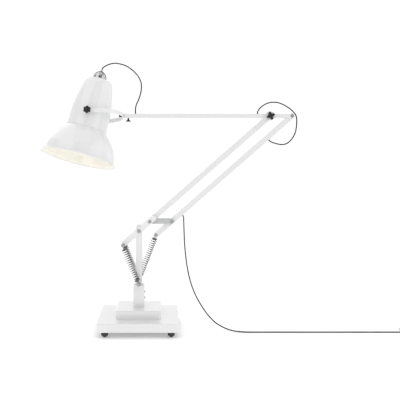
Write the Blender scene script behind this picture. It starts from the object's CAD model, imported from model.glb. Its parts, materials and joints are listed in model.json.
"""Looks of the adjustable arm floor lamp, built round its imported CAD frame. Metres, +Z up."""
import json
import math

import bmesh
import bpy
from mathutils import Matrix, Vector


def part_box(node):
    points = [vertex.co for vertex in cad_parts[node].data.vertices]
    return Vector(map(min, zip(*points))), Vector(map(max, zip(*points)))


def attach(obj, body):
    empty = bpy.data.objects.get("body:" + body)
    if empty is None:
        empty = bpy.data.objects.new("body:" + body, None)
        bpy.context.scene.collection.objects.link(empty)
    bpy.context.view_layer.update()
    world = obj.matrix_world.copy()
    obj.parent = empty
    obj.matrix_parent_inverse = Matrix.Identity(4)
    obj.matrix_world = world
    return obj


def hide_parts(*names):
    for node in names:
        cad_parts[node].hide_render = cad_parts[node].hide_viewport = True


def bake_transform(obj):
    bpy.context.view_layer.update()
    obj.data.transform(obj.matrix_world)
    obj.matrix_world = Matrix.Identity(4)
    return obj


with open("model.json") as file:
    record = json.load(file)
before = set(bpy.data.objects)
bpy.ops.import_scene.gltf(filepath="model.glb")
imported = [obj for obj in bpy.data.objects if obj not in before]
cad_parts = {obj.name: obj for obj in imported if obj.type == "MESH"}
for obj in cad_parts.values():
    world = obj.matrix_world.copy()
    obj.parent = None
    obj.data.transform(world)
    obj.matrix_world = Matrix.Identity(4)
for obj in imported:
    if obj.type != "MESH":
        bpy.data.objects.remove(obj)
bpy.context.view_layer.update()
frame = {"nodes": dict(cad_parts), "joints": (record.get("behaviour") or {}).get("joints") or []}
nodes = frame["nodes"]
joints = {j["name"]: j for j in frame["joints"]}
scene = bpy.context.scene

MM = 0.001


# ---------------------------------------------------------------- places, read from the frame

def pivot(joint):
    """Where a joint's axis is at rest."""
    return Vector(joints[joint]["pos_m"])


def middle(node):
    lo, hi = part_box(node)
    return (lo + hi) / 2


MAIN = pivot("lower_arm_pivot")
ELBOW = pivot("elbow")
LINK = pivot("link_pivot")
TAIL = pivot("parallel_bar_pivot")
TILT = pivot("shade_tilt")
UP_BAR = (ELBOW - MAIN).normalized()
LINK_TOP = LINK + (TAIL - ELBOW)
FOOT_REACH = 0.121  # from a bar's lowest pivot down to its spring's pin
FOOT = MAIN - FOOT_REACH * UP_BAR
SECOND_FOOT = LINK_TOP - FOOT_REACH * UP_BAR
PIN_HEAD_R, PIN_HEAD_H = 0.010, 0.004
HIGH_PIN_R = 0.004
SIDE_ANCHOR = Vector((0, 0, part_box("spring_pins")[0].z + PIN_HEAD_R))
MIDDLE_ANCHOR = Vector((0, 0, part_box("spring_pins")[1].z - HIGH_PIN_R))
SPRING_Y = abs(middle("spring_front").y)
CORNERS = ("front_left", "front_right", "rear_left", "rear_right")

TWIST = math.radians(-12)  # of the fork about the upper arm
LEAN = math.radians(13.5)  # of the shade in the fork
RIM_DROP = 0.260  # from the tilt axis down to the shade's rim
FORK_FRAME = Matrix.Translation(TILT) @ Matrix.Rotation(TWIST, 4, "X")
SHADE_FRAME = FORK_FRAME @ Matrix.Rotation(LEAN, 4, "Y") @ Matrix.Translation((0, 0, -RIM_DROP))


# ---------------------------------------------------------------- camera

CAMERA_AT = (0.1271, -4.0194, 1.0511)
SENSOR_MM, LENS_MM = 36, 62.91
SHIFT_X, SHIFT_Y = 0.097, -0.1378


def make_camera():
    """A level camera straight in front, its view shifted sideways and down."""
    data = bpy.data.cameras.new("camera")
    data.sensor_width = SENSOR_MM
    data.lens = LENS_MM
    data.shift_x = SHIFT_X
    data.shift_y = SHIFT_Y
    camera = bpy.data.objects.new("camera", data)
    camera.location = CAMERA_AT
    camera.rotation_euler = (math.pi / 2, 0, 0)
    scene.collection.objects.link(camera)
    scene.camera = camera


# ---------------------------------------------------------------- materials

def sockets_of(mat):
    return mat.node_tree.nodes["Principled BSDF"].inputs


def shader(name, color, roughness, metallic=0.0, **further):
    """A Principled material; further inputs have their spaces written as underscores."""
    mat = bpy.data.materials.new(name)
    mat.use_nodes = True
    sockets = sockets_of(mat)
    sockets["Base Color"].default_value = (*color, 1)
    sockets["Roughness"].default_value = roughness
    sockets["Metallic"].default_value = metallic
    for key, value in further.items():
        sockets[key.replace("_", " ")].default_value = value
    return mat


def noise(mat, scale, detail=2.0, stretch=(1, 1, 1)):
    """Noise in object space, scale in features a metre."""
    tree = mat.node_tree
    coords = tree.nodes.new("ShaderNodeTexCoord")
    mapping = tree.nodes.new("ShaderNodeMapping")
    mapping.inputs["Scale"].default_value = stretch
    texture = tree.nodes.new("ShaderNodeTexNoise")
    texture.inputs["Scale"].default_value = scale
    texture.inputs["Detail"].default_value = detail
    tree.links.new(coords.outputs["Object"], mapping.inputs["Vector"])
    tree.links.new(mapping.outputs["Vector"], texture.inputs["Vector"])
    return texture.outputs["Fac"]


def spread(mat, value, low, high, socket):
    """Maps a noise value between low and high, into a socket of the shader."""
    tree = mat.node_tree
    remap = tree.nodes.new("ShaderNodeMapRange")
    # Nearly all of a noise texture lies between these two
    remap.inputs["From Min"].default_value = 0.3
    remap.inputs["From Max"].default_value = 0.7
    remap.inputs["To Min"].default_value = low
    remap.inputs["To Max"].default_value = high
    tree.links.new(value, remap.inputs["Value"])
    tree.links.new(remap.outputs["Result"], sockets_of(mat)[socket])


def tint(mat, value, dark, light):
    """Varies the base colour between two close tones."""
    tree = mat.node_tree
    ramp = tree.nodes.new("ShaderNodeValToRGB")
    ramp.color_ramp.elements[0].position = 0.35
    ramp.color_ramp.elements[0].color = (*dark, 1)
    ramp.color_ramp.elements[1].position = 0.65
    ramp.color_ramp.elements[1].color = (*light, 1)
    tree.links.new(value, ramp.inputs["Fac"])
    tree.links.new(ramp.outputs["Color"], sockets_of(mat)["Base Color"])


def bump(mat, value, strength, distance):
    """Relief of so many metres from a 0 to 1 value."""
    tree = mat.node_tree
    node = tree.nodes.new("ShaderNodeBump")
    node.inputs["Strength"].default_value = strength
    node.inputs["Distance"].default_value = distance
    tree.links.new(value, node.inputs["Height"])
    tree.links.new(node.outputs["Normal"], sockets_of(mat)["Normal"])


def enamel(name, tone, roughness, tone_b, coat=1.0, gloss=0.5):
    """Baked gloss paint with a faint orange peel."""
    mat = shader(name, tone, roughness, Coat_Weight=coat, Coat_Roughness=0.03, IOR=1.5,
                 Specular_IOR_Level=gloss)
    bump(mat, noise(mat, 420, 3), 0.012, 0.0006)
    spread(mat, noise(mat, 9, 4), roughness * 0.8, roughness * 1.3, "Roughness")
    tint(mat, noise(mat, 3.5, 2), tone_b, tone)
    return mat


def steel(name, tone, roughness, grain=(1, 1, 1)):
    """Plated or ground steel with fine scratches along its grain."""
    mat = shader(name, tone, roughness, 1.0)
    spread(mat, noise(mat, 700, 4, grain), roughness - 0.08, roughness + 0.12, "Roughness")
    tint(mat, noise(mat, 60, 3), tuple(c * 0.86 for c in tone), tone)
    bump(mat, noise(mat, 900, 2, grain), 0.06, 0.0003)
    return mat


def plastic(name, tone, roughness, grain=1500):
    """Moulded plastic, rubber or glaze with a fine grain."""
    mat = shader(name, tone, roughness, IOR=1.48)
    bump(mat, noise(mat, grain, 2), 0.12, 0.0002)
    spread(mat, noise(mat, 40, 3), roughness - 0.05, roughness + 0.1, "Roughness")
    tint(mat, noise(mat, 25, 2), tuple(c * 0.8 for c in tone), tone)
    return mat


def sleeve(name, tone):
    """Woven textile sleeve of the lead."""
    mat = shader(name, tone, 0.7, Sheen_Weight=0.1)
    tree = mat.node_tree
    coords = tree.nodes.new("ShaderNodeTexCoord")
    weave = []
    for turn in (0.7, -0.7):
        mapping = tree.nodes.new("ShaderNodeMapping")
        mapping.inputs["Rotation"].default_value = (turn, turn, turn)
        wave = tree.nodes.new("ShaderNodeTexWave")
        wave.inputs["Scale"].default_value = 420
        wave.inputs["Distortion"].default_value = 0.6
        tree.links.new(coords.outputs["Object"], mapping.inputs["Vector"])
        tree.links.new(mapping.outputs["Vector"], wave.inputs["Vector"])
        weave.append(wave.outputs["Fac"])
    both = tree.nodes.new("ShaderNodeMath")
    both.operation = "MULTIPLY"
    tree.links.new(weave[0], both.inputs[0])
    tree.links.new(weave[1], both.inputs[1])
    bump(mat, both.outputs["Value"], 0.5, 0.0006)
    tint(mat, both.outputs["Value"], tuple(c * 0.6 for c in tone), tuple(c * 1.3 for c in tone))
    return mat


WHITE = enamel("white_gloss", (0.80, 0.80, 0.80), 0.06, (0.79, 0.79, 0.795))
TUBE_WHITE = enamel("white_tube", (0.79, 0.79, 0.79), 0.24, (0.78, 0.78, 0.785), 0.0, 0.35)
SHADE_WHITE = enamel("shade_gloss", (0.785, 0.785, 0.785), 0.10, (0.78, 0.78, 0.785), 0.1, 0.4)
FORK_WHITE = enamel("fork_white", (0.82, 0.82, 0.82), 0.2, (0.81, 0.81, 0.815), 0.0, 0.35)
REFLECTOR = enamel("shade_lining", (0.93, 0.92, 0.86), 0.45, (0.92, 0.91, 0.85))
GREY = enamel("grey_satin", (0.50, 0.505, 0.51), 0.35, (0.46, 0.465, 0.47))
PLATED = steel("plated_steel", (0.60, 0.60, 0.60), 0.28)
SPRING = steel("spring_steel", (0.10, 0.10, 0.105), 0.38)
BOLT = steel("bolt_steel", (0.46, 0.46, 0.465), 0.30)
FITTING = steel("spring_fitting", (0.30, 0.30, 0.305), 0.36)
DARK_STEEL = steel("blackened_steel", (0.07, 0.07, 0.075), 0.40)
CHROME = steel("chrome", (0.43, 0.43, 0.44), 0.06)
sockets_of(CHROME)["Specular Tint"].default_value = (0.15, 0.15, 0.15, 1)
IRON = steel("cast_iron", (0.16, 0.16, 0.16), 0.62)
BRASS = steel("brass", (0.70, 0.52, 0.25), 0.25)
BLACK = plastic("black_plastic", (0.012, 0.012, 0.013), 0.30)
BALL = plastic("castor_plastic", (0.02, 0.02, 0.022), 0.12, 600)
NYLON = plastic("bearing_plastic", (0.62, 0.60, 0.55), 0.5)
PORCELAIN = plastic("holder_plastic", (0.75, 0.73, 0.68), 0.25)
RUBBER = plastic("grommet_rubber", (0.03, 0.03, 0.03), 0.6, 900)
LEAD = sleeve("lead_sleeve", (0.014, 0.014, 0.016))


def opal():
    """Lit opal glass, warm."""
    mat = shader("opal_glass", (1.0, 0.95, 0.85), 0.2, Emission_Strength=4.0)
    sockets_of(mat)["Emission Color"].default_value = (1.0, 0.90, 0.70, 1)
    bump(mat, noise(mat, 200, 2), 0.02, 0.0003)
    return mat


OPAL = opal()


# ---------------------------------------------------------------- mesh helpers

def add_object(name, mesh, materials):
    piece = bpy.data.objects.new(name, mesh)
    scene.collection.objects.link(piece)
    for mat in materials:
        mesh.materials.append(mat)
    return piece


def from_bmesh(name, bm, *materials):
    bmesh.ops.recalc_face_normals(bm, faces=bm.faces)
    mesh = bpy.data.meshes.new(name)
    bm.to_mesh(mesh)
    bm.free()
    return add_object(name, mesh, materials)


def smooth_shading(piece, angle=35):
    mesh = piece.data
    mesh.polygons.foreach_set("use_smooth", [True] * len(mesh.polygons))
    mesh.set_sharp_from_angle(angle=math.radians(angle))


def bake_modifiers(piece):
    """Applies the piece's modifiers to its mesh."""
    depsgraph = bpy.context.evaluated_depsgraph_get()
    mesh = bpy.data.meshes.new_from_object(piece.evaluated_get(depsgraph), depsgraph=depsgraph)
    piece.modifiers.clear()
    piece.data = mesh


def finish_piece(piece, body, slot, *replaced):
    """Declares what a finished piece rides on, its material slot and the CAD nodes it stands for."""
    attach(piece, body)
    if replaced:
        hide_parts(*replaced)
    return piece


def refine(node, width, mat, body, slot, segments=3, sharp=30, square_foot=False):
    """The CAD node with its edges rounded by width millimetres.

    square_foot leaves the lowest edges square, for a part that stands on a step.
    """
    bm = bmesh.new()
    bm.from_mesh(nodes[node].data)
    bmesh.ops.remove_doubles(bm, verts=bm.verts, dist=2e-6)
    bmesh.ops.dissolve_degenerate(bm, edges=bm.edges, dist=2e-6)
    bmesh.ops.dissolve_limit(bm, angle_limit=math.radians(0.5), verts=bm.verts, edges=bm.edges)
    if square_foot:
        weight = bm.edges.layers.float.new("bevel_weight_edge")
        low = min(v.co.z for v in bm.verts) + 1e-5
        for edge in bm.edges:
            turned = len(edge.link_faces) == 2 and edge.calc_face_angle(0) > math.radians(sharp)
            edge[weight] = 1.0 if turned and max(v.co.z for v in edge.verts) > low else 0.0
    piece = from_bmesh(node + "_skin", bm, mat)
    bevel = piece.modifiers.new("bevel", "BEVEL")
    bevel.width = width * MM
    bevel.segments = segments
    bevel.limit_method = "WEIGHT" if square_foot else "ANGLE"
    bevel.angle_limit = math.radians(sharp)
    bevel.use_clamp_overlap = True
    bevel.miter_outer = "MITER_ARC"
    smooth_shading(piece, 40)
    normals = piece.modifiers.new("normals", "WEIGHTED_NORMAL")
    normals.keep_sharp = True
    bake_modifiers(piece)
    return finish_piece(piece, body, slot, node)


def ring(bm, place, radius_at, z, segments):
    """Points about the local Z of place, at height z and a radius that may vary with the angle."""
    turn = (2 * math.pi * k / segments for k in range(segments))
    return [bm.verts.new(place @ Vector((radius_at(a) * math.cos(a), radius_at(a) * math.sin(a), z)))
            for a in turn]


def close_rings(bm, rings):
    """Faces from ring to ring, and one across each end."""
    sides = len(rings[0])
    for a, b in zip(rings, rings[1:]):
        for k in range(sides):
            k2 = (k + 1) % sides
            bm.faces.new((a[k], a[k2], b[k2], b[k]))
    bm.faces.new(list(reversed(rings[0])))
    bm.faces.new(rings[-1])


def lathe(name, outline, place, mats, segments=96, mat_of=None, body=None, slot=None, replaced=(), sharp=40):
    """Turns a closed outline of (radius, height) points about the local Z of place.

    mat_of gives the material's number for each stretch of the outline.
    """
    bm = bmesh.new()
    rings = [ring(bm, place, lambda a: r, z, segments if r > 0 else 1) for r, z in outline]
    for i in range(len(rings)):
        a, b = rings[i], rings[(i + 1) % len(rings)]
        if len(a) == 1 and len(b) == 1:
            continue
        for k in range(segments):
            k2 = (k + 1) % segments
            corners = [a[0]] if len(a) == 1 else [a[k], a[k2]]
            corners += [b[0]] if len(b) == 1 else [b[k2], b[k]]
            face = bm.faces.new(corners)
            face.material_index = mat_of(i) if mat_of else 0
    piece = from_bmesh(name, bm, *mats)
    smooth_shading(piece, sharp)
    return finish_piece(piece, body, slot, *replaced) if body else piece


def knit(a, b, c, d, t):
    """A point between b and c on the smooth line through a, b, c and d."""
    return 0.5 * (2 * b + (c - a) * t + (2 * a - 5 * b + 4 * c - d) * t * t
                  + (3 * b - a - 3 * c + d) * t ** 3)


def smooth_line(points, steps):
    """A smooth line through all the points, with so many steps from each to the next."""
    points = [Vector(p) for p in points]
    line = []
    for i in range(len(points) - 1):
        a, b, c, d = points[max(i - 1, 0)], points[i], points[i + 1], points[min(i + 2, len(points) - 1)]
        line += [knit(a, b, c, d, k / steps) for k in range(steps)]
    return line + [points[-1]]


def tube(name, line, radius, mat, sides=12):
    """A round tube along a line, its rings turned as little as possible from one to the next."""
    bm = bmesh.new()
    rings = []
    side = None
    for i, p in enumerate(line):
        ahead = (line[min(i + 1, len(line) - 1)] - line[max(i - 1, 0)]).normalized()
        if side is None:
            side = ahead.orthogonal().normalized()
        side = (side - ahead * side.dot(ahead)).normalized()
        up = ahead.cross(side)
        rings.append([bm.verts.new(p + radius * (math.cos(a) * side + math.sin(a) * up))
                      for a in (2 * math.pi * k / sides for k in range(sides))])
    close_rings(bm, rings)
    piece = from_bmesh(name, bm, mat)
    smooth_shading(piece, 60)
    return piece


def arc(cx, cz, r, a0, a1, n):
    """Points (x, z) of an arc, angles in degrees."""
    return [(cx + r * math.cos(math.radians(a0 + (a1 - a0) * k / n)),
             cz + r * math.sin(math.radians(a0 + (a1 - a0) * k / n))) for k in range(n + 1)]


def outline_curve(points, steps=6):
    """A smooth line through (height, radius) points in millimetres, as (radius, height) in metres."""
    return [(p.y * MM, p.x * MM) for p in smooth_line([(h, r, 0) for h, r in points], steps)]


def along_y(at, sign=-1):
    """A place at `at` whose local Z points to -Y (sign -1) or +Y."""
    return Matrix.Translation(at) @ Matrix.Rotation(math.radians(-90 * sign), 4, "X")


# ---------------------------------------------------------------- base and upright

def build_base():
    refine("lower_step", 3.2, WHITE, "base", "white_enamel", 4)
    refine("middle_step", 3.2, WHITE, "base", "white_enamel", 4, square_foot=True)
    refine("tower", 5.0, WHITE, "base", "white_tube", 5, square_foot=True)
    refine("bottom_plate", 0.6, PLATED, "base", "plated_steel", 2)
    refine("bottom_plate_screws", 0.8, PLATED, "base", "plated_steel", 3)
    refine("ballast", 3.0, IRON, "base", "cast_iron", 3)
    refine("tower_clamp_screws", 0.8, DARK_STEEL, "base", "dark_screw", 3)
    refine("spindle_bushes", 0.3, NYLON, "base", "bush_plastic", 2)
    build_castors()


def castor_ball(corner):
    """A moulded ball with a shallow parting groove round its rolling axis."""
    node = "castor_ball_" + corner
    lo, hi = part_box(node)
    r = (hi.z - lo.z) / 2
    steps, groove = 32, 0.0004
    outline = [(0, -r)]
    for k in range(1, steps):
        a = math.pi * k / steps - math.pi / 2
        here = r - groove if k == steps // 2 else r
        outline.append((here * math.cos(a), here * math.sin(a)))
    outline.append((0, r))
    lathe(node + "_skin", outline, along_y(middle(node)), [BALL], 48, body="ball_" + corner,
          slot="castor_plastic", replaced=(node,), sharp=60)


def castor_cup(corner):
    """A pressed cup round the ball, with a rolled lip and a flat brim on top."""
    centre = middle("castor_ball_" + corner)
    seat_r, outer_r, brim_r = 0.0164, 0.0200, 0.0215
    top, lip, lip_r = 0.030, 0.012, 0.0015
    start = math.asin((lip - centre.z) / seat_r)
    angles = [start + (math.radians(89.5) - start) * k / 12 for k in range(13)]
    seat = [(seat_r * math.cos(a), centre.z + seat_r * math.sin(a)) for a in angles]
    outline = [(0, seat[-1][1])] + seat[::-1][1:]
    outline += arc(outer_r - lip_r, lip + 0.0008, lip_r, 250, 360, 6)
    outline += [(outer_r, lip + 0.004), (outer_r, top - 0.002), (brim_r, top), (0, top)]
    place = Matrix.Translation((centre.x, centre.y, 0))
    return lathe("castor_cup_" + corner, outline, place, [DARK_STEEL], 48, body="base", slot="dark_screw")


def build_castors():
    for corner in CORNERS:
        castor_ball(corner)
    cups = [castor_cup(corner) for corner in CORNERS]
    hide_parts("castor_cups")


def bolt_head(name, at, sign, r, height, mat, body):
    """A domed screw head that faces -Y or +Y, with a hexagon socket in it."""
    place = along_y(at, sign)
    socket_r, floor_z = r * 0.42, height - height * 0.6
    outline = [(0, 0), (r * 0.97, 0), (r, height * 0.12)]
    for k in range(1, 7):
        rise = math.sin(math.pi / 2 * k / 6)
        outline.append((r * (1 - 0.30 * (k / 6) ** 2), height * (0.12 + 0.88 * rise)))
    outline += [(socket_r, height), (socket_r, floor_z), (0, floor_z)]
    piece = lathe(name, outline, place, [mat], 6 * 8, sharp=30)
    inverse = place.inverted()
    for v in piece.data.vertices:
        p = inverse @ v.co
        if 1e-6 < math.hypot(p.x, p.y) < socket_r * 1.01:
            a = math.atan2(p.y, p.x) % (math.pi / 3) - math.pi / 6
            s = math.cos(math.pi / 6) / math.cos(a)
            v.co = place @ Vector((p.x * s, p.y * s, p.z))
    return finish_piece(piece, body, "plated_steel")


def shaft(name, at, r, half, mat, body, *replaced):
    """A plain pin along Y, its ends under the heads."""
    outline = [(0, -half), (r, -half), (r, half), (0, half)]
    piece = lathe(name, outline, along_y(at), [mat], 32)
    return finish_piece(piece, body, "plated_steel", *replaced)


def headed_pin(name, at, r, half, body, *replaced):
    """A pin along Y with a head at each end."""
    shaft(name, at, r, half, BOLT, body, *replaced)
    for end, sign in (("front", -1), ("rear", 1)):
        tip = at + Vector((0, sign * half, 0))
        bolt_head(f"{name}_head_{end}", tip, sign, PIN_HEAD_R, PIN_HEAD_H, BOLT, body)


def build_upright():
    refine("swivel_block", 1.0, WHITE, "swivel", "white_enamel", 3)
    refine("swivel_spindle", 0.6, PLATED, "swivel", "plated_steel", 2)
    refine("cheek_front", 1.2, WHITE, "swivel", "white_enamel", 4)
    refine("cheek_rear", 1.2, WHITE, "swivel", "white_enamel", 4)
    refine("upright_washers", 0.25, NYLON, "swivel", "bush_plastic", 2)
    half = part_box("upright_bolt")[1].y - PIN_HEAD_H
    headed_pin("upright_bolt_skin", MAIN, 0.007, half, "swivel", "upright_bolt")
    headed_pin("spring_pin_low", SIDE_ANCHOR, 0.005, 0.062, "swivel", "spring_pins")
    shaft("spring_pin_high", MIDDLE_ANCHOR, HIGH_PIN_R, 0.026, PLATED, "swivel")


# ---------------------------------------------------------------- springs

COIL_R, WIRE_R, PITCH = 0.0157, 0.0018, 0.0122
PLUG_TOP = 0.0195  # from a pin's axis to the first turn of the coil
EYE_R, EYE_WIRE_R = 0.0090, 0.0022


def spring_plug(name, place, body):
    """A turned end fitting: a neck at the eye, a cone, and two threads that hold the coil."""
    thread_pitch, crest, root = 0.0042, 0.0133, 0.0121
    outline = [(0, EYE_R), (0.0020, EYE_R), (0.0020, 0.0172), (0.0085, 0.0178), (0.0110, PLUG_TOP)]
    for z in (0, thread_pitch):
        outline += [(crest, 0.0205 + z), (crest, 0.0220 + z), (root, 0.0226 + z), (root, 0.0241 + z)]
    outline += [(0.0115, 0.0300), (0.009, 0.0315), (0, 0.0315)]
    lathe(name, outline, place, [FITTING], 32, body=body, slot="spring_steel")


def spring_eye(name, at, way, side, body):
    """A closed wire loop round the pin at `at`, in the plane that the spring lies in."""
    turn = (2 * math.pi * k / 24 for k in range(25))
    line = [at + EYE_R * (math.cos(t) * way + math.sin(t) * way.cross(side)) for t in turn]
    finish_piece(tube(name, line, EYE_WIRE_R, SPRING, 10), body, "spring_steel")


def spring(name, low, high, y, upper_body):
    """A real coil between two threaded plugs, each with an eye round its pin."""
    a, b = Vector((low.x, y, low.z)), Vector((high.x, y, high.z))
    axis = (b - a).normalized()
    side = Vector((0, 1, 0))
    out = axis.cross(side)
    span = (b - a).length - 2 * PLUG_TOP
    per_turn = 18
    count = round(span / PITCH) * per_turn
    line = []
    for k in range(count + 1):
        angle = 2 * math.pi * k / per_turn
        line.append(a + axis * (PLUG_TOP + span * k / count)
                    + COIL_R * (math.cos(angle) * side + math.sin(angle) * out))
    coil = tube(name + "_coil", line, WIRE_R, SPRING, 10)
    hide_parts(name)
    # Late in the length, which keeps the spring nearly straight when the arm turns
    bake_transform(coil)
    for end, at, way, body in (("low", a, axis, "swivel"), ("high", b, -axis, upper_body)):
        place = Matrix.Translation(at) @ way.to_track_quat("Z", "Y").to_matrix().to_4x4()
        spring_plug(f"{name}_plug_{end}", place, body)
        spring_eye(f"{name}_eye_{end}", at, way, side, body)


def build_springs():
    spring("spring_front", SIDE_ANCHOR, FOOT, -SPRING_Y, "lower_arm")
    spring("spring_rear", SIDE_ANCHOR, FOOT, SPRING_Y, "lower_arm")
    # Its upper pin is on the second bar, but a blend can only cross one joint
    spring("spring_middle", MIDDLE_ANCHOR, SECOND_FOOT, 0.0, "lower_arm")


# ---------------------------------------------------------------- arms and link

def build_arms():
    refine("main_bar", 1.6, TUBE_WHITE, "lower_arm", "white_tube", 3)
    refine("lever_plate_front", 1.0, WHITE, "lower_arm", "white_enamel", 3)
    refine("lever_plate_rear", 1.0, WHITE, "lower_arm", "white_enamel", 3)
    refine("arm_spacers", 0.4, PLATED, "lower_arm", "plated_steel", 2)
    refine("elbow_cheeks", 0.9, WHITE, "lower_arm", "white_enamel", 3)
    refine("link_plates", 0.7, GREY, "link", "grey_link", 3)
    refine("second_bar", 1.4, TUBE_WHITE, "parallel_bar", "white_tube", 3)
    refine("arm_tube", 1.3, TUBE_WHITE, "upper_arm", "white_tube", 3)
    refine("arm_end_plug", 0.4, TUBE_WHITE, "upper_arm", "plated_steel", 2)
    headed_pin("foot_pin_skin", FOOT, 0.005, 0.062, "lower_arm", "lever_pins")
    headed_pin("link_pin_skin", LINK, 0.005, 0.0325, "lower_arm")
    headed_pin("link_top_pin", LINK_TOP, 0.005, 0.0206, "parallel_bar", "bar_pins")
    headed_pin("spring_hook_pin", SECOND_FOOT, 0.005, 0.0082, "parallel_bar")
    headed_pin("tail_bolt_skin", TAIL, 0.005, 0.0121, "upper_arm", "tail_bolt")
    build_elbow_bolt()
    for node, body in (("bar_grommets", "parallel_bar"), ("arm_grommets", "upper_arm")):
        refine(node, 0.5, RUBBER, body, "grommet_rubber", 3)


def build_elbow_bolt():
    """A shank under the knob, a washer in front and a head at the rear."""
    cheek = Vector((0, 0.0195, 0))  # from the middle to the outside of an elbow cheek
    shaft("elbow_bolt_skin", ELBOW, 0.006, 0.0205, PLATED, "lower_arm", "elbow_bolt")
    bolt_head("elbow_bolt_head", ELBOW + cheek, 1, 0.011, 0.007, PLATED, "lower_arm")
    washer = [(0, 0), (0.0155, 0), (0.0160, 0.0008), (0.0160, 0.0020), (0.0155, 0.0028), (0, 0.0028)]
    lathe("elbow_washer", washer, along_y(ELBOW - cheek), [PLATED], 48, body="lower_arm", slot="plated_steel")


# ---------------------------------------------------------------- knobs

def lobed_knob(node, place, lobes, reach, waist, height, turn):
    """A moulded star knob: rounded lobes, a domed face and a boss behind it. Local Z points outwards.

    reach and waist are its largest and smallest radius, and turn is the angle of its first lobe.
    """
    segments = 120

    def lobed(grow):
        return lambda a: grow * (waist + (reach - waist) * (0.5 + 0.5 * math.cos(lobes * (a - turn))) ** 0.75)

    # Each ring's radius, or its share of the full lobed outline, and its share of the height
    boss = [(0.0075, -0.55), (0.0095, -0.55), (0.0095, 0.0)]
    body = [(0.94, 0), (0.985, 0.05), (1, 0.14), (1, 0.62), (0.985, 0.78), (0.94, 0.90), (0.86, 0.97),
            (0.72, 1.0)]
    face = [(0.0098, 1.0), (0.0095, 1.08), (0.0085, 1.12), (0.0050, 1.13), (0.0048, 1.05)]
    bm = bmesh.new()
    rings = [ring(bm, place, lambda a: r, z * height, segments) for r, z in boss]
    rings += [ring(bm, place, lobed(grow), z * height, segments) for grow, z in body]
    rings += [ring(bm, place, lambda a: r, z * height, segments) for r, z in face]
    close_rings(bm, rings)
    piece = from_bmesh(node + "_skin", bm, BLACK)
    smooth_shading(piece, 50)
    # Each knob turns on a body of its own name
    return finish_piece(piece, node, "black_plastic", node)


def build_knobs():
    lobed_knob("elbow_knob", along_y(Vector((ELBOW.x, -0.029, ELBOW.z))), lobes=4, reach=0.0248, waist=0.0105,
               height=0.013, turn=math.radians(22))
    for side, node in ((-1, "shade_knob_near"), (1, "shade_knob_far")):
        place = FORK_FRAME @ along_y(Vector((0, side * 0.1404, 0)), side)
        lobed_knob(node, place, lobes=6, reach=0.0218, waist=0.0176, height=0.012, turn=math.radians(25))
    build_thumb_screw()


def build_thumb_screw():
    """A flared head with shallow flutes round its rim, on a plain screw."""
    lo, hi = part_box("thumb_screw")
    centre = middle("thumb_screw")
    # Heights from the head's lower face
    head = [(0, 0), (0.0130, 0), (0.0140, 0.0008), (0.0142, 0.0020), (0.0140, 0.0036), (0.0124, 0.0050),
            (0.0094, 0.0072), (0.0066, 0.0100), (0.0050, 0.0130), (0.0045, 0.0145), (0.0045, 0.0204),
            (0.0030, 0.0205)]
    outline = [(r, lo.z + z) for r, z in head] + [(0.0030, hi.z), (0, hi.z)]
    place = Matrix.Translation((centre.x, centre.y, 0))
    piece = lathe("thumb_screw_skin", outline, place, [BLACK], 96, sharp=45)
    flutes, fluted_height, plain_r, depth = 12, 0.008, 0.0085, 0.22
    for v in piece.data.vertices:
        out = Vector((v.co.x - centre.x, v.co.y - centre.y))
        wave = max(0.0, math.cos(flutes * math.atan2(out.y, out.x)))
        cut = max(0.0, out.length - plain_r) * depth * wave
        if cut > 0 and v.co.z < lo.z + fluted_height:
            v.co.x -= out.x / out.length * cut
            v.co.y -= out.y / out.length * cut
    finish_piece(piece, "thumb_screw", "black_plastic", "thumb_screw")


# ---------------------------------------------------------------- fork and shade

def build_fork():
    refine("fork_strap", 1.2, FORK_WHITE, "fork", "white_tube", 3)
    arm_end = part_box("arm_tube")[0].x
    along_x = Matrix.Translation((arm_end, 0, ELBOW.z)) @ Matrix.Rotation(math.radians(90), 4, "Y")
    washer = [(0.0061, -0.0029), (0.0096, -0.0029), (0.0100, -0.0025), (0.0100, -0.0005), (0.0096, -0.0001),
              (0.0061, -0.0001)]
    lathe("yoke_washer", washer, along_x, [TUBE_WHITE], 48, body="fork", slot="white_tube")
    # Heights from the strap's face on the shade's side
    strap_face, screw_r = -0.009, 0.0060
    head = [(0, -0.023), (0.0062, -0.023), (0.0070, -0.0222), (0.0070, -0.0085), (0.0082, -0.0080),
            (0.0090, -0.0074), (0.0090, -0.0050), (screw_r, -0.0050)]
    outline = [(r, strap_face + z) for r, z in head] + [(screw_r, 0.0500), (0, 0.0500)]
    lathe("yoke_screw_skin", outline, along_x, [BLACK], 48, body="fork", slot="dark_screw",
          replaced=("yoke_screw",))


WALL = 0.0018
JOIN = 176  # height of the bell's top edge over its rim, in millimetres
LAST_R = 0.036  # where the cover ends, under the dome


def shell(name, outer, inner, node):
    """A thin turned shell, white outside and reflecting inside."""
    lathe(name, outer + inner, SHADE_FRAME, [SHADE_WHITE, REFLECTOR], 128,
          mat_of=lambda i: 0 if i < len(outer) else 1, body="shade", slot="white_tube", replaced=(node,))


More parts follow.
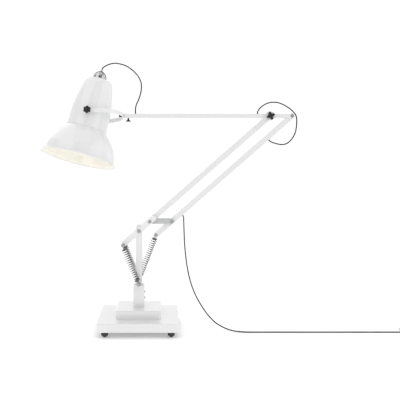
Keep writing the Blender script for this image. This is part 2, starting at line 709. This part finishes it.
def build_shade():
    bell = outline_curve([(4, 217), (6, 213), (10, 209.5), (18, 206.8), (37, 204), (59, 199.5), (81, 190.5),
                          (108, 175.5), (135, 157), (152, 142.5), (164, 131), (JOIN - 0.4, 119.2),
                          (JOIN + 2, 117.2), (194, 115.2), (240, 113), (285, 112)])
    bead = arc(0.2165, 0.0035, 0.0035, -90, 60, 8)
    inner = [(r - WALL, z) for r, z in reversed(bell)] + [(0.2130, 0.0035), (0.2140, 0.0008)]
    shell("shade_bell_skin", bead[:-1] + bell, inner, "shade_bell")
    cover = outline_curve([(JOIN + 3.2, 119.6), (213, 118.2), (245, 117.5), (276, 117), (312, 114.8),
                           (343, 110), (380, 103.5), (420, 95), (446, 88.5), (462, 82.5), (472, 75),
                           (478, 65), (480.5, 53)])
    cover.append((LAST_R, 0.481))
    # The lower edge is rolled in towards the bell
    edge = [(r, (JOIN + z) * MM) for r, z in ((0.1181, 0), (0.1186, 0.2), (0.1191, 0.8), (0.1194, 1.8))]
    # Where the cover turns in to the top, its wall is measured downwards
    inner = [(r - WALL, z - WALL * max(0, min(1, (0.088 - r) / 0.012))) for r, z in reversed(cover)]
    shell("shade_cover_skin", edge + cover, inner, "shade_cover")
    build_dome()
    build_light()
    build_studs()


def build_dome():
    """A polished dome on the cover, and the gland that the lead leaves by."""
    base, step, r, rise = 0.4812, 0.0042, 0.0398, 0.0490
    outline = [(0.0, base), (0.0396, base), (0.0401, base + 0.0012), (0.0401, base + 0.0030)]
    outline += [(r * math.cos(a), base + step + rise * math.sin(a))
                for a in (math.radians(5 * k) for k in range(17))]
    outline.append((0.0, outline[-1][1]))
    lathe("top_dome_skin", outline, SHADE_FRAME, [CHROME], 96, body="shade", slot="chrome",
          replaced=("top_dome",))
    top = base + step + rise - 0.0002
    gland = [(0, -0.003), (0.0075, -0.003), (0.0075, 0.003), (0.0070, 0.004), (0.0060, 0.0042),
             (0.0060, 0.007), (0.0054, 0.009), (0.0047, 0.0138), (0.0036, 0.0141), (0, 0.0141)]
    lathe("cable_gland_skin", [(r, top + z) for r, z in gland], SHADE_FRAME, [CHROME], 48, body="shade",
          slot="chrome", replaced=("cable_gland",))


def build_light():
    """The lamp holder under the cover's top, with the bulb and its cap."""
    holder = [(0, 0.4788), (0.038, 0.4788), (0.038, 0.4758), (0.021, 0.4754), (0.021, 0.422), (0.0238, 0.420),
              (0.0250, 0.418), (0.0250, 0.407), (0.0240, 0.405), (0.0150, 0.405), (0.0137, 0.4065),
              (0.0137, 0.432), (0, 0.432)]
    lathe("lamp_holder_skin", holder, SHADE_FRAME, [PORCELAIN], 64, body="shade", slot="holder_plastic",
          replaced=("lamp_holder",))
    centre, r = 0.345, 0.0475
    globe = [(0, centre - r)] + arc(0, centre, r, -86, 52, 23)
    globe += [(0.0225, 0.3895), (0.0165, 0.3965), (0.0142, 0.4020), (0, 0.4020)]
    lathe("bulb_skin", globe, SHADE_FRAME, [OPAL], 64, body="shade", slot="bulb_glass", replaced=("bulb",))
    cap = [(0, 0.4015)]
    for k in range(6):
        cap += [(0.0128, 0.4025 + 0.0042 * k), (0.0132, 0.4046 + 0.0042 * k)]
    cap += [(0.0090, 0.4290), (0, 0.4300)]
    lathe("bulb_cap", cap, SHADE_FRAME, [BRASS], 48, body="shade", slot="bulb_glass")


def build_studs():
    """On each side of the shade a stud, the boss it stands on, and a washer under the knob."""
    r = 0.0061  # clear of the stud
    for side, name in ((-1, "near"), (1, "far")):
        place = FORK_FRAME @ along_y(Vector((0, 0, 0)), side)
        stud = [(0, 0.104), (0.006, 0.104), (0.006, 0.1425), (0, 0.1425)]
        piece = lathe("stud_" + name, stud, place, [PLATED], 32, body="shade", slot="plated_steel")
        if side < 0:
            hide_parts("pivot_studs")
        boss = [(r, 0.1150), (0.0130, 0.1150), (0.0136, 0.1200), (0.0136, 0.1240), (0.0130, 0.1246),
                (r, 0.1246)]
        lathe("boss_" + name, boss, place, [WHITE], 48, body="shade", slot="plated_steel")
        washer = [(r, 0.1312), (0.0150, 0.1312), (0.0150, 0.1326), (r, 0.1326)]
        lathe("knob_washer_" + name, washer, place, [PLATED], 48, body="shade", slot="plated_steel")


# ---------------------------------------------------------------- the lead

def metres(points):
    """Points given in millimetres."""
    return [Vector(p) * MM for p in points]


SHADE_ROUTE = metres([
    (-217.4, 58.5, 1493.1), (-213.3, 58.5, 1499.6), (-205.5, 57.3, 1506.3), (-192.5, 55.5, 1513.8),
    (-171, 52, 1521.5), (-142, 46, 1525.8), (-106.5, 42, 1520), (-73, 37, 1507.5), (-38, 31, 1483),
    (-9.5, 25.3, 1453.5)
])
FORK_ROUTE = metres([
    (-8, 25, 1451), (9, 20, 1417), (13, 15, 1383), (9, 11, 1350), (-3, 7, 1311), (-14, 4, 1287),
    (-20, 1, 1264), (-20.7, 0, 1244), (-20.7, 0, 1227)
])
ELBOW_ROUTE = metres([
    (681, 0, 1227), (681.5, 0, 1240), (690, 0, 1256), (707, 0, 1273), (730, 0, 1287), (755, 0, 1295),
    (782, 0, 1296), (806, 0, 1292), (834, 0, 1280), (863, 0, 1262), (885, 0, 1243), (899, 0, 1226),
    (905.5, 0, 1205), (906, 0, 1172), (902, 0, 1138), (894, 0, 1112), (880, 0, 1088), (862, 0, 1068),
    (844, 0, 1057), (822, 0, 1053), (798, 0, 1056), (776, 0, 1062), (759, 0, 1068.5), (750, 0, 1074.8),
    (745.3, 0, 1080.2)
])
FLOOR_ROUTE = metres([
    (249.5, 0, 646.1), (253.5, 0, 641.4), (256, -1, 630), (256.8, -2, 606), (258, -4, 566),
    (260, -7, 510), (264, -12, 449), (273, -22, 371), (286, -32, 302), (301, -42, 250), (320, -53, 203),
    (343, -65, 161), (370, -77, 120), (400, -88, 83), (440, -98, 48), (494, -105, 21), (540, -107, 9),
    (590, -108, 4.5), (640, -108, 3.5), (760, -108, 3.5), (900, -108, 3.5), (1040, -108, 3.5),
    (1180, -108, 3.5), (1320, -108, 3.5), (1460, -108, 3.5), (1518, -108, 3.5)
])
TAIL_ROUTE = metres([(1585, -42, 10.5), (1585, -30, 10.5), (1585, -15, 9.5), (1585, 2, 9)])
LEAD_R = 0.0035


def coil_turns():
    """The stored length: a flat spiral inwards on the floor, then outwards again on top of it."""
    centre = middle("lead_coil")
    outer_r, apart, low = 0.0492, 0.0071, LEAD_R
    per_turn, turns = 24, 5.25
    # From angle to angle, in degrees of winding, the line moves one lead's width in or out
    moves = ((270, 360, -apart), (630, 720, -apart), (1180, 1250, apart), (1540, 1610, apart))

    def ease(angle, start, end):
        t = min(1.0, max(0.0, (angle - start) / (end - start)))
        return t * t * (3 - 2 * t)

    points = []
    for k in range(1, int(per_turn * turns) + 1):
        angle = 360 * k / per_turn
        r = outer_r + sum(by * ease(angle, start, end) for start, end, by in moves)
        z = low + apart * ease(angle, 900, 985)
        a = math.radians(angle - 90)
        points.append(Vector((centre.x + r * math.cos(a), centre.y + r * math.sin(a), z)))
    return points


def free_stretch(node, route, steps):
    """A length of the lead that hangs between two bodies."""
    piece = tube(node + "_skin", smooth_line(route, steps), LEAD_R, LEAD)
    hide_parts(node)
    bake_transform(piece)


def build_lead():
    free_stretch("shade_lead", SHADE_ROUTE, 6)
    free_stretch("fork_lead", FORK_ROUTE, 6)
    free_stretch("elbow_lead", ELBOW_ROUTE, 4)

    line = smooth_line(FLOOR_ROUTE, 4)[:-1] + smooth_line([FLOOR_ROUTE[-1]] + coil_turns() + TAIL_ROUTE, 2)
    floor_lead = tube("floor_lead_skin", line, LEAD_R, LEAD)
    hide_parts("floor_lead", "lead_coil")
    plug = refine("plug", 2.0, BLACK, "swivel", "black_plastic", 4)
    tie = refine("cord_tie", 0.4, BLACK, "swivel", "black_plastic", 2)
    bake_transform(floor_lead)

    for node in ("lead_in_bar", "lead_in_arm"):
        nodes[node].data.materials.clear()
        nodes[node].data.materials.append(LEAD)


# ---------------------------------------------------------------- floor, world and lights

SKY = 0.965  # what lights the lamp from all round
BACKDROP = 1.05  # what the camera sees behind it
FLOOR_HALF = 30
FLOOR_GLOW = 0.22  # keeps the floor as white as the backdrop


def build_stage():
    mesh = bpy.data.meshes.new("floor")
    h = FLOOR_HALF
    mesh.from_pydata([(-h, -h, 0), (h, -h, 0), (h, h, 0), (-h, h, 0)], [], [(0, 1, 2, 3)])
    floor = bpy.data.objects.new("floor", mesh)
    scene.collection.objects.link(floor)
    mat = shader("studio_floor", (0.90, 0.90, 0.90), 0.9, Emission_Strength=FLOOR_GLOW)
    sockets_of(mat)["Emission Color"].default_value = (1, 1, 1, 1)
    mesh.materials.append(mat)


def build_world():
    """A white surround. Gloss sees a dim room instead: an overhead box, two upright strips and a lit back."""
    world = bpy.data.worlds.new("studio")
    scene.world = world
    world.use_nodes = True
    tree = world.node_tree
    background = tree.nodes["Background"]
    coords = tree.nodes.new("ShaderNodeTexCoord")
    split = tree.nodes.new("ShaderNodeSeparateXYZ")
    tree.links.new(coords.outputs["Generated"], split.inputs["Vector"])

    def ramp(axis, stops):
        """Grey levels by direction along an axis, from -1 to 1."""
        remap = tree.nodes.new("ShaderNodeMapRange")
        remap.inputs["From Min"].default_value = -1
        remap.inputs["From Max"].default_value = 1
        node = tree.nodes.new("ShaderNodeValToRGB")
        elements = node.color_ramp.elements
        while len(elements) < len(stops):
            elements.new(0.5)
        for element, (at, level) in zip(elements, stops):
            element.position = (at + 1) / 2
            element.color = (level, level, level, 1)
        tree.links.new(split.outputs[axis], remap.inputs["Value"])
        tree.links.new(remap.outputs["Result"], node.inputs["Fac"])
        return node.outputs["Color"]

    strips = ramp("X", [(-1, 0.5), (-0.74, 0.5), (-0.70, 1.7), (-0.16, 1.7), (-0.12, 0.05), (0.16, 0.05),
                        (0.22, 0.5), (0.66, 0.5), (0.70, 1.7), (0.96, 1.7), (1, 0.5)])
    roof = ramp("Z", [(-1, 0.6), (0.0, 0.0), (0.78, 0.0), (0.90, 1.1), (1, 1.1)])
    behind = ramp("Y", [(-1, 0.0), (-0.10, 0.0), (0.15, 0.9), (0.7, 0.95), (0.85, 1.02), (1, 1.02)])
    paths = tree.nodes.new("ShaderNodeLightPath")

    def blend_colors(kind, factor, a, b):
        """Mixes two inputs, each a grey level or another node's output."""
        node = tree.nodes.new("ShaderNodeMixRGB")
        node.blend_type = kind
        for socket, value in (("Fac", factor), ("Color1", a), ("Color2", b)):
            if isinstance(value, (int, float)):
                node.inputs[socket].default_value = value if socket == "Fac" else (value, value, value, 1)
            else:
                tree.links.new(value, node.inputs[socket])
        return node.outputs["Color"]

    glossy = blend_colors("LIGHTEN", 1.0, blend_colors("LIGHTEN", 1.0, strips, roof), behind)
    lit = blend_colors("MIX", paths.outputs["Is Glossy Ray"], SKY, glossy)
    shown = blend_colors("MIX", paths.outputs["Is Camera Ray"], lit, BACKDROP)
    tree.links.new(shown, background.inputs["Color"])
    background.inputs["Strength"].default_value = 1.0


def softbox(name, at, aim, size, watts):
    """A square area light at one point, turned to another."""
    data = bpy.data.lights.new(name, "AREA")
    data.shape = "SQUARE"
    data.size = size
    data.energy = watts
    light = bpy.data.objects.new(name, data)
    light.location = at
    light.rotation_euler = (Vector(aim) - Vector(at)).to_track_quat("-Z", "Y").to_euler()
    scene.collection.objects.link(light)


def build_lights():
    softbox("top_box", at=(0.3, -0.6, 4.2), aim=(0.2, 0, 0.6), size=3.0, watts=5)


make_camera()
build_base()
build_upright()
build_arms()
build_springs()
build_knobs()
build_fork()
build_shade()
build_lead()
build_stage()
build_world()
build_lights()
scene.view_settings.view_transform = "Standard"
